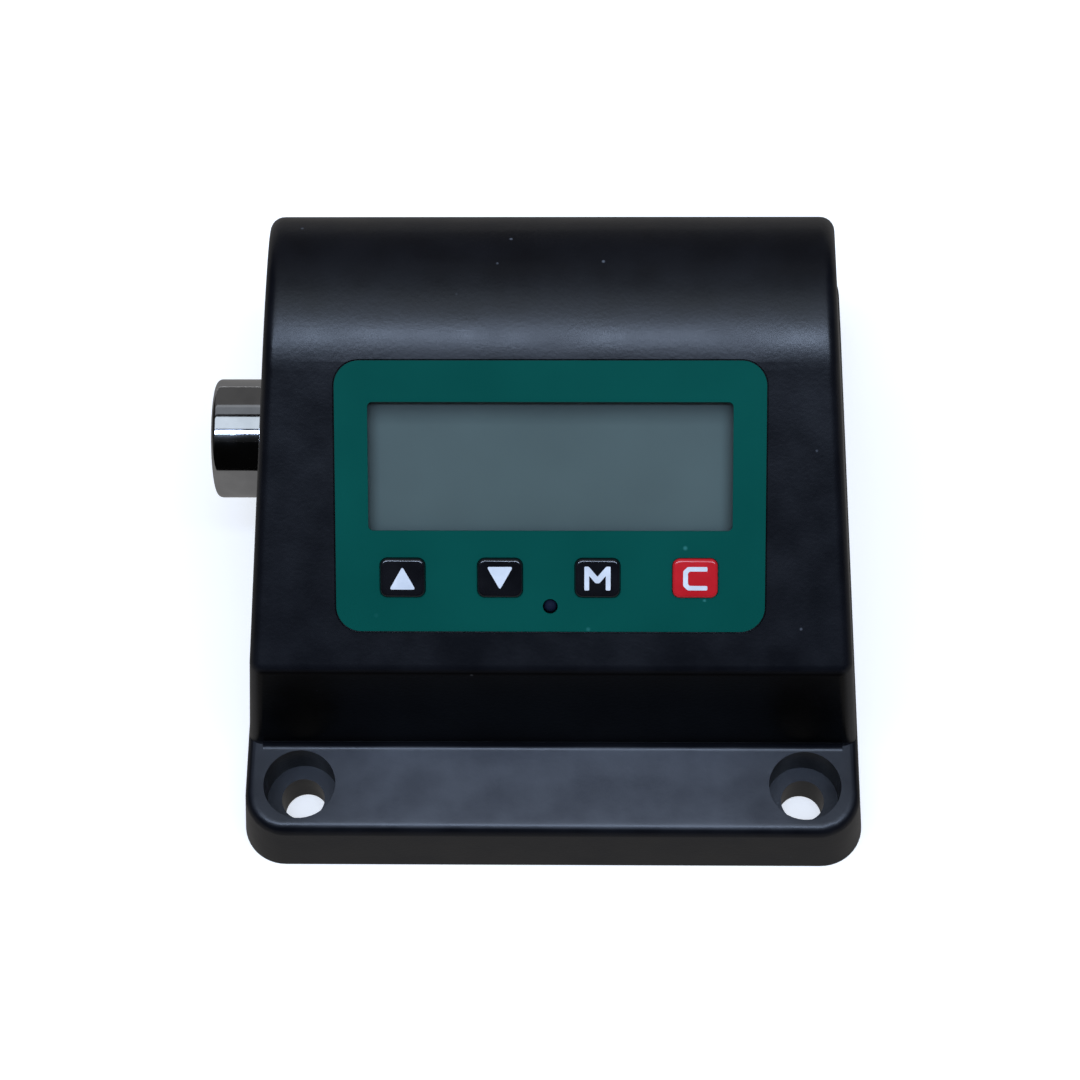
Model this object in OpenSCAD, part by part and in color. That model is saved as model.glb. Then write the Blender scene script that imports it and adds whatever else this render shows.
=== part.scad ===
// Bench torque tester: a cast housing with a sloping console, a torsion bar inside, and an
// adapter with a square drive on the left. Millimetres. +X is right, +Y rear, +Z up.
// The origin is the centre of the four bolt holes, at the level of the bench.

/* [Foot] */
// Width of the foot on the bench
foot_w = 131; // [125:1:146]
// Depth of the foot on the bench
foot_d = 140; // [137:1:156]
// Thickness of the front and rear flanges
foot_t = 18; // [16:0.5:20]
// Radius of the foot's upright corners
foot_corner_r = 9; // [7:0.5:12]
// Radius along the foot's top edge
foot_edge_r = 2.4; // [1.2:0.2:3]
// Draft of the side faces, in degrees
side_draft = 5.8; // [4:0.2:6.2]
// Draft of the front and rear faces, in degrees
end_draft = 2; // [1:0.5:3]

/* [Bolt holes] */
// Distance of each bolt hole from the side of the foot
hole_inset_x = 13; // [11.5:0.5:15]
// Distance of each bolt hole from the front or rear edge of the foot
hole_inset_y = 11.2; // [10:0.2:11.6]
// Diameter of the bolt holes
bolt_hole_d = 9; // [8.4:0.2:10]
// Diameter of the recess for a bolt's head
head_recess_d = 15; // [14:0.5:16]
// Depth of the recess for a bolt's head
head_recess_h = 9; // [6:0.5:11]

/* [Console] */
// Distance of the upright front face from the front edge of the foot
front_ledge = 20; // [19.5:0.5:24]
// Distance of the rear wall from the rear edge of the foot
rear_ledge = 23; // [20:0.5:26]
// Height of the upright front face above the flange
chin_h = 30; // [28:0.5:34]
// Lean of the upright front face, in degrees
chin_lean = 7; // [4:0.5:9]
// Slope of the panel, in degrees above level
panel_slope = 34.7; // [33:0.1:37]
// Radius of the long curve that runs from the panel up to the crown of the console
top_r = 34; // [31:0.5:36]
// Radius of the tighter curve from the crown down to the rear wall
crown_r = 22.5; // [20:0.5:24]
// Radius along the console's edges
console_edge_r = 3; // [2:0.5:4]
// Step between the foot's sides and the console's sides
console_step = 0.2; // [0.1:0.1:0.8]
// Radius in the corner between the flange and the upright face
root_r = 1.5; // [0.8:0.1:2]

/* [Walls and base cover] */
// Thickness of the side walls
side_wall = 6; // [5:0.5:7]
// Thickness of the front, panel and rear walls
shell_wall = 4; // [3.6:0.2:4.6]
// Width of the ledge that the base cover lies on
cover_ledge = 3.2; // [2.6:0.2:4]
// Thickness of the base cover
cover_t = 2.5; // [2:0.25:3.5]
// Distance of the base cover above the bench
cover_lift = 0.5; // [0.3:0.1:1]
// Thickness of the base cover's gasket
gasket_t = 0.8; // [0.5:0.1:1.2]

/* [Panel] */
// Width of the front film on each side of the window
film_side = 6.55; // [5.5:0.05:8]
// Height of the front film above the window
film_above = 8.2; // [7.6:0.2:9.4]
// Corner radius of the front film
overlay_r = 5; // [3:0.5:7]
// Distance of the front film from the panel's lower edge
overlay_up = 8.2; // [7:0.2:9.4]
// Thickness of the front film
overlay_t = 0.6; // [0.4:0.1:0.7]
// Depth of the recess that the film lies in
recess_h = 0.8; // [0.7:0.1:1]
// Width of the window
window_w = 72.3; // [70:0.2:73]
// Height of the window
window_h = 25.7; // [24:0.2:26.4]
// Distance of the window from the film's lower edge
window_up = 20.3; // [19.8:0.1:21]
// Thickness of the window's lens
lens_t = 1; // [0.8:0.1:1.2]
// Thickness of the display glass
glass_t = 2.8; // [2:0.2:3.4]

/* [Keys and lamp] */
// Width of a key
key_w = 9; // [8:0.1:9.2]
// Height of a key
key_h = 7.9; // [7:0.1:8.2]
// Corner radius of a key
key_r = 1.5; // [1.1:0.1:2.4]
// Distance from one key to the next
key_pitch = 19.4; // [16:0.1:19.4]
// Shift of the row of keys to the right
key_shift = -0.3; // [-0.3:0.1:0.3]
// Distance of the keys' centres from the film's lower edge
key_up = 10.9; // [10.5:0.1:11.2]
// Height of a key above the film
key_stand = 0.9; // [0.6:0.1:1.4]
// Travel of a key
key_travel = 0.4; // [0.2:0.05:0.5]
// Diameter of the lamp
lamp_d = 2.8; // [2:0.1:3]
// Distance of the lamp's centre from the film's lower edge
lamp_up = 5.1; // [4:0.1:5.2]

/* [Adapter and torsion bar] */
// Height of the torsion bar's axis above the bench
axis_h = 40.5; // [39.5:0.5:42]
// Distance of the torsion bar's axis from the rear wall
axis_back = 36.5; // [36:0.5:39]
// Outer diameter of the adapter
adapter_d = 25; // [24:0.5:27]
// Length of the adapter
adapter_l = 38; // [36:0.5:42]
// Distance that the adapter stands out of the side
adapter_stand = 9.7; // [8:0.1:14]
// Width of the adapter's square drive
drive_w = 12.85; // [12.75:0.05:13]
// Depth of the adapter's square drive
drive_depth = 16.5; // [14:0.5:17]
// Width across the flats of the torsion bar's hexagon
hex_w = 18.9; // [17:0.1:19]
// Length of the hexagon inside the adapter
hex_l = 17; // [12:0.5:17]
// Diameter of the torsion bar's journal
journal_d = 22; // [22:0.5:23]
// Wall of the bush round the journal
bush_wall = 2; // [1.5:0.25:2.25]
// Length of the bush
bush_l = 14; // [10:1:16]
// Diameter of the torsion bar's gauge section
gauge_d = 18; // [14:0.5:19]
// Width of the torsion bar's square end
anchor_w = 26; // [24:0.5:27]
// Length of the torsion bar's square end
anchor_l = 20; // [17:0.5:22]

/* [Batteries] */
// Diameter of a battery
cell_d = 10.5; // [10:0.1:10.7]
// Length of a battery
cell_l = 44.5; // [42:0.5:45]
// Width of the battery lid
lid_w = 60; // [57:0.5:61]
// Thickness of the battery lid
lid_t = 2.4; // [2:0.1:2.6]
// Height of the battery lid's recess above the rear flange
lid_up = 3; // [2.4:0.1:3.4]
// Radius of the battery lid's hinge barrel
barrel_r = 1.6; // [1.4:0.1:1.6]

/* [Hidden] */

$fn = 48;
// Segments round the edges' radii and round the large top
edge_fn = 24;
top_fn = 72;
long_fn = 120;
arc_steps = 12;
long_steps = 8;

// Overrun of a cut, slip clearance, close clearance and the gap between faces that only meet
overrun = 1;
slip = 0.2;
close_fit = 0.05;
meet = 0.3;

// Main lines of the housing's side view, as y and z
front_y = -foot_d / 2 + front_ledge;
rear_y = foot_d / 2 - rear_ledge;
edge_y = front_y + chin_h * tan(chin_lean);
edge_z = foot_t + chin_h;
rear_reach = rear_y * cos(end_draft) + foot_t * sin(end_draft) - crown_r;
panel_reach = edge_z * cos(panel_slope) - edge_y * sin(panel_slope) - top_r
    + (top_r - crown_r) * cos(panel_slope);
top_y = (rear_reach * cos(panel_slope) - panel_reach * sin(end_draft)) / cos(panel_slope - end_draft);
top_z = (panel_reach * cos(end_draft) + rear_reach * sin(panel_slope)) / cos(panel_slope - end_draft);
top_drop = top_r - crown_r;
total_h = top_z + crown_r;

// Bolt holes
bolt_x = foot_w / 2 - hole_inset_x;
bolt_y = foot_d / 2 - hole_inset_y;

// Base cover, its ledge and its screws
cover_top = cover_lift + cover_t;
ledge_z = cover_top + gasket_t;
cover_r = 4;
cover_screw_d = 3;
cover_screw_l = 8;
cover_head_d = 5.6;
cover_boss_r = 4.2;
cover_boss_h = 10;
cavity_x = foot_w / 2 - console_step - side_wall;
cavity_front = front_y + shell_wall / cos(chin_lean);
cavity_rear = rear_y - shell_wall / cos(end_draft);
cavity_mid = (cavity_front + cavity_rear) / 2;
cover_w = 2 * (cavity_x + cover_ledge);
cover_d = cavity_rear - cavity_front + 2 * cover_ledge;
cover_screw_x = cavity_x - cover_boss_r + cover_screw_d / 4;
cover_screw_y = (cavity_rear - cavity_front) / 2 - cover_boss_r;

// Stack of the panel, as levels below its face
overlay_w = window_w + 2 * film_side;
overlay_h = window_up + window_h + film_above;
film_top = overlay_t - recess_h;
lens_ledge_t = 0.8;
lens_bottom = -recess_h - lens_t;
glass_top = lens_bottom - lens_ledge_t - slip / 2;
glass_bottom = glass_top - glass_t;
lens_rim = 2.2;
glass_rim_w = 1.6;
glass_rim_h = 1.9;
window_r = 1;
film_gap = 0.3;
key_flange_t = 1;
key_lip = 0.7;
key_edge_r = 0.7;
key_stem_d = 4;
key_stem_l = 0.9;
key_count = 4;
switch_w = 6;
switch_h = 3.5;
plunger_d = 3.5;
plunger_stand = 0.8;
plunger_sink = 1;
key_flange_top = -shell_wall - meet;
key_flange_bottom = key_flange_top - key_flange_t;
plunger_top = key_flange_bottom - key_stem_l;
board_top = plunger_top - plunger_stand - switch_h;
key_mid = overlay_up + key_up;
lamp_mid = overlay_up + lamp_up;
window_mid = overlay_up + window_up + window_h / 2;
lamp_sink = 0.4;
lamp_flange_d = 3.8;
lamp_leg_w = 0.5;

// Circuit board and what it carries
board_in = 1.7;
board_w = overlay_w - 2 * board_in;
board_t = 1.6;
board_low = 0.8;
board_h = overlay_h;
board_mid = overlay_up + board_low + board_h / 2;
board_bottom = board_top - board_t;
board_screw_inset = 3.7;
board_screw_d = 2.2;
board_head_d = 4.4;
board_head_h = 1.6;
board_boss_d = 6;
board_bay = 3.6;
chip_w = 10;
chip_h = 1.4;
amp_w = 6;
buzzer_d = 12;
buzzer_h = 4.5;
plug_w = 8;
plug_depth = 5;
plug_h = 5;

// Adapter, torsion bar, bush and caps, along the axis from left to right
axis_y = rear_y - axis_back;
wall_x = foot_w / 2 - axis_h * tan(side_draft) - console_step;
adapter_x0 = -wall_x - adapter_stand;
adapter_x1 = adapter_x0 + adapter_l;
adapter_edge_r = 1.2;
adapter_bevel = 0.6;
drive_bevel = 1.6;
detent_depth = 6;
detent_w = 3.2;
detent_r = 7.4;
web_hole_d = 9;
hex_tip = adapter_x1 - hex_l;
journal_x0 = adapter_x1 + meet;
shoulder = 1;
bush_x0 = journal_x0 + shoulder;
bush_x1 = bush_x0 + bush_l;
bush_od = journal_d + 2 * (bush_wall + close_fit);
bush_flange_t = 2;
bush_flange_w = 2;
bearing_x1 = bush_x1 - bush_flange_t;
journal_x1 = bush_x1 + shoulder;
anchor_x1 = foot_w / 2 - (axis_h + anchor_w / 2) * tan(side_draft) - console_step - side_wall - meet;
anchor_x0 = anchor_x1 - anchor_l;
gauge_flat = gauge_d * 8 / 9;
gauge_x = (journal_x1 + anchor_x0) / 2;
pad_l = 11;
pad_w = 6;
pad_t = 0.2;
bore_gap = 0.6;
bore_d = adapter_d + 2 * bore_gap;
seal_w = 3;
seal_d = bore_d + 2 * seal_w / 2;
seal_slip = 0.1;
seal_wall = 2.5;
bore_boss_d = seal_d + 2 * seal_wall;
bore_boss_l = 4;
seal_x = -wall_x + side_wall / 2 + seal_w;

// Caps under the bar and their screws
clamp_gap = 0.5;
cap_screw_d = 4;
cap_head_d = 7;
cap_head_h = 4;
cap_screw_l = 30;
bearing_screw_y = bush_od / 2 + cap_screw_d * 3 / 4;
bearing_half = bearing_screw_y + cap_head_d / 2;
bearing_cap_t = 5;
anchor_screw_d = 5;
anchor_head_d = 8.5;
anchor_head_h = 5;
anchor_screw_l = 22;
anchor_leg = 13;
anchor_half = anchor_w / 2 + anchor_leg;
anchor_screw_y = anchor_w / 2 + anchor_leg / 2;
anchor_screw_inset = 5;
anchor_cap_t = 7;
anchor_low = axis_h - anchor_w / 2;

// Battery space in the rear wall, as heights up the wall and levels below its face
cell_gap = 1;
cell_count = 3;
cell_nub_d = 4;
cell_nub_l = 1;
cell_pitch = cell_d + cell_gap;
lid_recess = lid_t + slip;
pivot_up = lid_up + meet + barrel_r;
pivot_level = -barrel_r;
bay_low = pivot_up + barrel_r + cell_gap;
bay_h = cell_count * cell_pitch;
bay_high = bay_low + bay_h;
lid_lap = 2.2;
lid_high = bay_high + lid_lap;
cell_low = bay_low + cell_pitch / 2;
cell_level = -lid_t - meet - slip - cell_d / 2;
plate_t = 0.5;
spring_l = 5;
spring_d = 6;
holder_t = 1.2;
holder_in_l = cell_l + spring_l + 2 * plate_t;
holder_l = holder_in_l + 2 * holder_t;
holder_top = -shell_wall - slip / 2;
holder_floor = cell_level - cell_d / 2 - meet;
holder_ear = 3;
holder_screw_x = lid_w / 2 + holder_ear;
trunnion_r = 0.9;
trunnion_l = 1.6;
tongue_w = 10;
tongue_t = 1;
tongue_l = 2.2;
thumb_r = 6;
thumb_w = 16;
thumb_depth = 1.6;

// Leads inside the housing
lead_d = 2.6;
lead_bend_r = 6;
lead_sleeve = 0.4;
gauge_lead_rise = 8.5;
battery_lead_x = -8;
battery_lead_run = 2.5;
battery_lead_drop = 5;
plug_level = board_bottom - plug_h;
gauge_lead_low = axis_h + gauge_flat / 2 + pad_t;
gauge_lead_turn = gauge_lead_low + gauge_lead_rise;
battery_lead_z = foot_t + (bay_high - battery_lead_drop) * cos(end_draft);
battery_lead_y = rear_at(battery_lead_z, meet - holder_floor + holder_t);
battery_lead_turn = axis_y + battery_lead_run;

// Half-width between the side faces at height z, moved inwards by inset
function side_x(z, inset) = foot_w / 2 - z * tan(side_draft) - inset;
// y of the upright front face and of the rear wall at height z, moved inwards by inset
function front_at(z, inset) = front_y + (z - foot_t) * tan(chin_lean) + inset / cos(chin_lean);
function rear_at(z, inset) = rear_y - (z - foot_t) * tan(end_draft) - inset / cos(end_draft);
// Where a point at y and z lies in the panel's own directions
function panel_up(y, z) = (y - edge_y) * cos(panel_slope) + (z - edge_z) * sin(panel_slope);
function panel_level(y, z) = (z - edge_z) * cos(panel_slope) - (y - edge_y) * sin(panel_slope);
// The corner between the upright face and the panel, both moved inwards by inset
function corner_z(inset) =
    edge_z - inset * (cos(chin_lean) - sin(panel_slope)) / cos(panel_slope + chin_lean);
function corner_at(inset) = [front_at(corner_z(inset), inset), corner_z(inset)];

// Places its children on the panel: x across, up along the slope, level out of the face
module on_panel(x, up, level) {
    translate([0, edge_y, edge_z]) rotate([panel_slope, 0, 0]) translate([x, up, level]) children();
}

// Places its children on the rear wall, seen from behind: x to the left, up the wall, level out of it
module on_rear(x, up, level) {
    translate([0, rear_y, foot_t]) rotate([90 - end_draft, 0, 180]) translate([x, up, level]) children();
}

// Places its children on the torsion bar's axis at x, with their own Z along +X
module on_axis(x) {
    translate([x, axis_y, axis_h]) rotate([0, 90, 0]) children();
}

module rod(x0, x1, d) {
    on_axis(x0) cylinder(h = x1 - x0, d = d);
}

module hexagon(x0, x1, w) {
    on_axis(x0) cylinder(h = x1 - x0, d = w / cos(30), $fn = 6);
}

// A block between two x, two y and two z
module block(x0, x1, y0, y1, z0, z1) {
    translate([x0, y0, z0]) cube([x1 - x0, y1 - y0, z1 - z0]);
}

// A rounded rectangle, centred, as a plate of thickness t
module plate(w, h, r, t) {
    linear_extrude(height = t) {
        square([w - 2 * r, h], center = true);
        square([w, h - 2 * r], center = true);
        for (sx = [-1, 1], sy = [-1, 1])
            translate([sx * (w / 2 - r), sy * (h / 2 - r)]) circle(r = r);
    }
}

// A cap screw with its head below z = 0 and its shank above
module cap_screw(d, l, head_d, head_h) {
    difference() {
        union() {
            translate([0, 0, -head_h]) cylinder(h = head_h, d = head_d);
            cylinder(h = l, d = d);
        }
        translate([0, 0, -head_h - overrun]) cylinder(h = overrun + head_h / 2, d = d, $fn = 6);
    }
}

// The foot: four drafted corner posts with a rounded top rim, blended into one block
module foot_block() {
    rim_z = foot_t - foot_edge_r;
    rim_r = foot_corner_r - foot_edge_r;
    rim_x = side_x(rim_z, foot_edge_r / cos(side_draft)) - rim_r;
    rim_y = foot_d / 2 - rim_z * tan(end_draft) - foot_edge_r / cos(end_draft) - rim_r;
    hull() for (sx = [-1, 1], sy = [-1, 1]) {
        translate([sx * (foot_w / 2 - foot_corner_r), sy * (foot_d / 2 - foot_corner_r), 0])
            cylinder(h = foot_edge_r, r1 = foot_corner_r, r2 = rim_r);
        translate([sx * rim_x, sy * rim_y, rim_z])
            rotate_extrude() translate([rim_r, 0]) circle(r = foot_edge_r, $fn = edge_fn);
    }
}

// A ball with its poles on the Z axis
module ball(r) {
    rotate_extrude($fn = edge_fn) intersection() {
        circle(r = r, $fn = edge_fn);
        translate([0, -r]) square([r, 2 * r]);
    }
}

// The console: balls at its lower corners, and at each end of its top a round-rimmed disc under
// the crown and a stretch of a larger one towards the panel
module console_block() {
    low_z = foot_t - 2 * foot_edge_r;
    r = console_edge_r;
    inset = console_step + r / cos(side_draft);
    low_corners = [corner_at(r), [front_at(low_z, r), low_z], [rear_at(low_z, r), low_z]];
    hull() for (side = [-1, 1]) {
        for (p = low_corners)
            translate([side * side_x(p[1], inset), p[0], p[1]])
                rotate([0, side * (90 - side_draft), 0]) ball(r);
        translate([side * side_x(top_z, inset), top_y, top_z])
            rotate([0, side * (90 - side_draft), 0])
                rotate_extrude($fn = top_fn) translate([crown_r - r, 0]) circle(r = r, $fn = edge_fn);
        translate([side * side_x(top_z - top_drop, inset), top_y, top_z - top_drop])
            rotate([0, side * (90 - side_draft), 0])
                rotate([0, 0, side > 0 ? 180 : -panel_slope])
                    rotate_extrude(angle = panel_slope, $fn = long_fn)
                        translate([(top_r - r) / cos(side_draft), 0]) circle(r = r, $fn = edge_fn);
    }
}

// The concave radius along the root of a wall that leans back by lean, its foot at y = 0
module root_strip(lean) {
    centre = [root_r * tan(lean) - root_r / cos(lean), root_r];
    touch = [centre[0] + root_r * cos(lean), centre[1] - root_r * sin(lean)];
    length = 2 * (side_x(foot_t, console_step) - console_edge_r);
    rotate([90, 0, 90]) linear_extrude(height = length, center = true) difference() {
        polygon([[centre[0], -overrun], [centre[0], 0], touch, [touch[0] + overrun, touch[1]],
            [touch[0] + overrun, -overrun]]);
        translate(centre) circle(r = root_r);
    }
}

// The side view of the console as a solid, moved inwards at the ends and at the sides
module core(end_inset, side_inset) {
    long_arc = [for (i = [0 : long_steps]) let (a = 90 + panel_slope * (1 - i / long_steps))
        [top_y + (top_r - end_inset) * cos(a), top_z - top_drop + (top_r - end_inset) * sin(a)]];
    short_arc = [for (i = [1 : arc_steps]) let (a = 90 - (90 - end_draft) * i / arc_steps)
        [top_y + (crown_r - end_inset) * cos(a), top_z + (crown_r - end_inset) * sin(a)]];
    intersection() {
        rotate([90, 0, 90]) linear_extrude(height = foot_w, center = true) polygon(concat(
            [[front_at(foot_t, end_inset), -overrun], [front_at(foot_t, end_inset), foot_t],
                corner_at(end_inset)],
            long_arc,
            short_arc,
            [[rear_at(foot_t, end_inset), foot_t], [rear_at(foot_t, end_inset), -overrun]]
        ));
        rotate([90, 0, 0]) linear_extrude(height = 2 * foot_d, center = true) polygon([
            [-side_x(-overrun, side_inset), -overrun], [side_x(-overrun, side_inset), -overrun],
            [side_x(total_h, side_inset), total_h], [-side_x(total_h, side_inset), total_h]
        ]);
    }
}

// Places its children at the six screws of the base cover
module at_cover_screws() {
    for (sx = [-1, 1], row = [-1, 0, 1])
        translate([sx * cover_screw_x, cavity_mid + row * cover_screw_y, 0]) children();
}

// Places its children at the four screws of the circuit board, on the board's lower face
module at_board_screws() {
    for (sx = [-1, 1], sy = [-1, 1])
        on_panel(sx * (board_w / 2 - board_screw_inset),
            board_mid + sy * (board_h / 2 - board_screw_inset), board_bottom) children();
}

// Places its children at the screws of the bearing cap, on its lower face
module at_bearing_screws() {
    for (sy = [-1, 1])
        translate([(bush_x0 + bearing_x1) / 2, axis_y + sy * bearing_screw_y,
            axis_h - bush_od / 2 - bearing_cap_t]) children();
}

// Places its children at the screws of the anchor cap, on its lower face
module at_anchor_screws() {
    for (x = [anchor_x0 + anchor_screw_inset, anchor_x1 - anchor_screw_inset], sy = [-1, 1])
        translate([x, axis_y + sy * anchor_screw_y, anchor_low - anchor_cap_t]) children();
}

// Places its children at the two screws of the battery holder, on the rear wall's inner face
module at_holder_screws() {
    for (sx = [-1, 1])
        on_rear(sx * holder_screw_x, bay_low + bay_h / 2, holder_top - holder_t) children();
}

function key_x(k) = key_shift + (k - (key_count - 1) / 2) * key_pitch;

// The two bridges that carry the torsion bar, kept clear of the circuit board
module bridges() {
    difference() {
        union() {
            block(bush_x0, bearing_x1, axis_y - bearing_half, axis_y + bearing_half, axis_h, total_h);
            block(anchor_x0 - shoulder, foot_w / 2, axis_y - anchor_half, axis_y + anchor_half,
                anchor_low + clamp_gap, total_h);
        }
        on_panel(0, board_mid, board_bottom - board_bay)
            translate([-board_w / 2 - shoulder, -board_h / 2 - shoulder, 0])
                cube([board_w + 2 * shoulder, board_h + 2 * shoulder, total_h]);
    }
}

// The openings of the panel: recess, lens rebate, window, glass pocket, key holes and lamp hole
module panel_cuts() {
    film_mid = overlay_up + overlay_h / 2;
    on_panel(0, film_mid, -recess_h)
        plate(overlay_w + 2 * film_gap, overlay_h + 2 * film_gap, overlay_r + film_gap, recess_h + overrun);
    on_panel(0, window_mid, lens_bottom)
        plate(window_w + 2 * lens_rim + slip, window_h + 2 * lens_rim + slip, window_r + lens_rim,
            lens_t + recess_h);
    on_panel(0, window_mid, -shell_wall - overrun)
        plate(window_w + window_r, window_h + window_r, window_r, shell_wall + overrun);
    on_panel(0, window_mid, -shell_wall - overrun)
        plate(window_w + 2 * (glass_rim_w + slip), window_h + 2 * (glass_rim_h + slip), window_r,
            shell_wall + overrun + lens_bottom - lens_ledge_t);
    for (k = [0 : key_count - 1])
        on_panel(key_x(k), key_mid, -shell_wall - overrun)
            plate(key_w + 2 * slip, key_h + 2 * slip, key_r + slip, shell_wall + overrun);
    on_panel(0, lamp_mid, -shell_wall - overrun) cylinder(h = shell_wall + overrun, d = lamp_d + slip);
}

// The openings of the rear wall: lid recess, hinge trough, battery opening and thumb scoop
module rear_cuts() {
    recess_mid = (lid_up + lid_high) / 2;
    on_rear(0, recess_mid, -lid_recess)
        plate(lid_w + 2 * meet, lid_high - lid_up, shoulder, lid_recess + overrun);
    on_rear(-lid_w / 2 - meet, lid_up, -2 * barrel_r - slip)
        cube([lid_w + 2 * meet, 2 * (meet + barrel_r), 2 * barrel_r + slip + overrun]);
    on_rear(-holder_in_l / 2, bay_low, -shell_wall - overrun)
        cube([holder_in_l, bay_h, shell_wall + overrun]);
    on_rear(-lid_w / 2 - meet - trunnion_l, pivot_up, pivot_level) rotate([0, 90, 0])
        cylinder(h = lid_w + 2 * (meet + trunnion_l), r = trunnion_r + 2 * close_fit);
    on_rear(-thumb_w / 2, lid_high, thumb_r - thumb_depth) rotate([0, 90, 0])
        cylinder(h = thumb_w, r = thumb_r);
}

module housing() {
    color("#1b1d24") difference() {
        union() {
            difference() {
                union() {
                    foot_block();
                    console_block();
                    translate([0, front_y, foot_t]) root_strip(chin_lean);
                    translate([0, rear_y, foot_t]) rotate([0, 0, 180]) root_strip(end_draft);
                }
                core(shell_wall, console_step + side_wall);
            }
            intersection() {
                bridges();
                core(shell_wall / 2, console_step + side_wall / 2);
            }
            at_cover_screws() translate([0, 0, ledge_z - overrun])
                cylinder(h = cover_boss_h + overrun, r = cover_boss_r);
            at_board_screws() translate([0, 0, board_t])
                cylinder(h = -board_top - shell_wall / 2, d = board_boss_d);
            rod(-wall_x + side_wall / 2, -wall_x + side_wall + bore_boss_l, bore_boss_d);
        }
        for (sx = [-1, 1], sy = [-1, 1]) translate([sx * bolt_x, sy * bolt_y, 0]) {
            translate([0, 0, -overrun]) cylinder(h = foot_t + 2 * overrun, d = bolt_hole_d);
            translate([0, 0, foot_t - head_recess_h])
                cylinder(h = head_recess_h + root_r + overrun, d = head_recess_d);
        }
        translate([0, cavity_mid, -overrun])
            plate(cover_w + 2 * slip, cover_d + 2 * slip, cover_r + slip, ledge_z + overrun);
        at_cover_screws() translate([0, 0, ledge_z - overrun])
            cylinder(h = cover_screw_l, d = cover_screw_d + 2 * close_fit);
        at_board_screws() translate([0, 0, -overrun])
            cylinder(h = board_t - board_top - shell_wall + overrun, d = board_screw_d + 2 * close_fit);
        rod(-foot_w, -wall_x + side_wall + bore_boss_l + overrun, bore_d);
        rod(seal_x, seal_x + seal_w + 2 * close_fit, seal_d + 2 * close_fit);
        rod(bush_x0 - overrun, bearing_x1 + overrun, bush_od + 2 * close_fit);
        at_bearing_screws() cylinder(h = cap_screw_l + overrun, d = cap_screw_d + 2 * close_fit);
        block(anchor_x0 - shoulder - overrun, anchor_x1 + meet, axis_y - anchor_w / 2 - close_fit,
            axis_y + anchor_w / 2 + close_fit, anchor_low - overrun, axis_h + anchor_w / 2 + close_fit);
        at_anchor_screws() cylinder(h = anchor_screw_l + overrun, d = anchor_screw_d + 2 * close_fit);
        at_holder_screws() cylinder(h = shell_wall, d = board_screw_d + 2 * close_fit);
        panel_cuts();
        rear_cuts();
    }
}

module base_cover() {
    color("#3a3d42") difference() {
        translate([0, cavity_mid, cover_lift]) plate(cover_w, cover_d, cover_r, cover_t);
        at_cover_screws() {
            translate([0, 0, -overrun]) cylinder(h = cover_top + 2 * overrun, d = cover_screw_d + slip);
            translate([0, 0, cover_lift - overrun / 2])
                cylinder(h = overrun / 2 + (cover_head_d - cover_screw_d) / 2 + slip,
                    r1 = cover_head_d / 2 + overrun / 2 + slip, r2 = cover_screw_d / 2);
        }
    }
}

module cover_gasket() {
    color("#101010") translate([0, 0, cover_top]) difference() {
        union() {
            translate([0, cavity_mid, 0]) difference() {
                plate(cover_w - slip, cover_d - slip, cover_r, gasket_t);
                translate([0, 0, -overrun])
                    plate(cover_w - 2 * cover_ledge, cover_d - 2 * cover_ledge, cover_r / 4,
                        gasket_t + 2 * overrun);
            }
            at_cover_screws() cylinder(h = gasket_t, r = cover_boss_r);
        }
        at_cover_screws() translate([0, 0, -overrun])
            cylinder(h = gasket_t + 2 * overrun, d = cover_screw_d + slip);
    }
}

module cover_screws() {
    color("silver") at_cover_screws() translate([0, 0, cover_lift]) difference() {
        union() {
            cylinder(h = (cover_head_d - cover_screw_d) / 2, d1 = cover_head_d, d2 = cover_screw_d);
            cylinder(h = cover_screw_l, d = cover_screw_d);
        }
        translate([0, 0, -overrun])
            cylinder(h = overrun + cover_screw_d / 3, d = cover_screw_d * 2 / 3, $fn = 6);
    }
}

module transducer() {
    color("#8f949b") difference() {
        union() {
            hexagon(hex_tip, journal_x0 + shoulder, hex_w);
            rod(journal_x0, journal_x1, journal_d);
            intersection() {
                rod(journal_x1 - shoulder, anchor_x0 + shoulder, gauge_d);
                block(journal_x1 - shoulder, anchor_x0 + shoulder, axis_y - gauge_flat / 2,
                    axis_y + gauge_flat / 2, axis_h - gauge_flat / 2, axis_h + gauge_flat / 2);
            }
            block(anchor_x0, anchor_x1, axis_y - anchor_w / 2, axis_y + anchor_w / 2,
                anchor_low, axis_h + anchor_w / 2);
        }
        rod(hex_tip - overrun, hex_tip + hex_l / 4, hex_w / 3);
    }
}

// Strain gauges lie on the flats above and below the bar
module gauge_pad(side) {
    color("#c9a24b") translate([gauge_x, axis_y, axis_h + side * (gauge_flat + pad_t) / 2])
        cube([pad_l, pad_w, pad_t], center = true);
}

module input_bush() {
    color("#b08d57") difference() {
        union() {
            rod(bush_x0, bush_x1, bush_od);
            rod(bearing_x1 + close_fit, bush_x1, bush_od + 2 * bush_flange_w);
        }
        rod(bush_x0 - overrun, bush_x1 + overrun, journal_d + 2 * close_fit);
    }
}

module bearing_cap() {
    low = axis_h - bush_od / 2 - bearing_cap_t;
    color("#6b6f75") difference() {
        block(bush_x0, bearing_x1, axis_y - bearing_half, axis_y + bearing_half, low, axis_h - clamp_gap);
        rod(bush_x0 - overrun, bearing_x1 + overrun, bush_od + 2 * close_fit);
        at_bearing_screws() translate([0, 0, -overrun])
            cylinder(h = bearing_cap_t + bush_od, d = cap_screw_d + slip);
    }
}

module bearing_cap_screws() {
    color("dimgray") at_bearing_screws() cap_screw(cap_screw_d, cap_screw_l, cap_head_d, cap_head_h);
}

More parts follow.
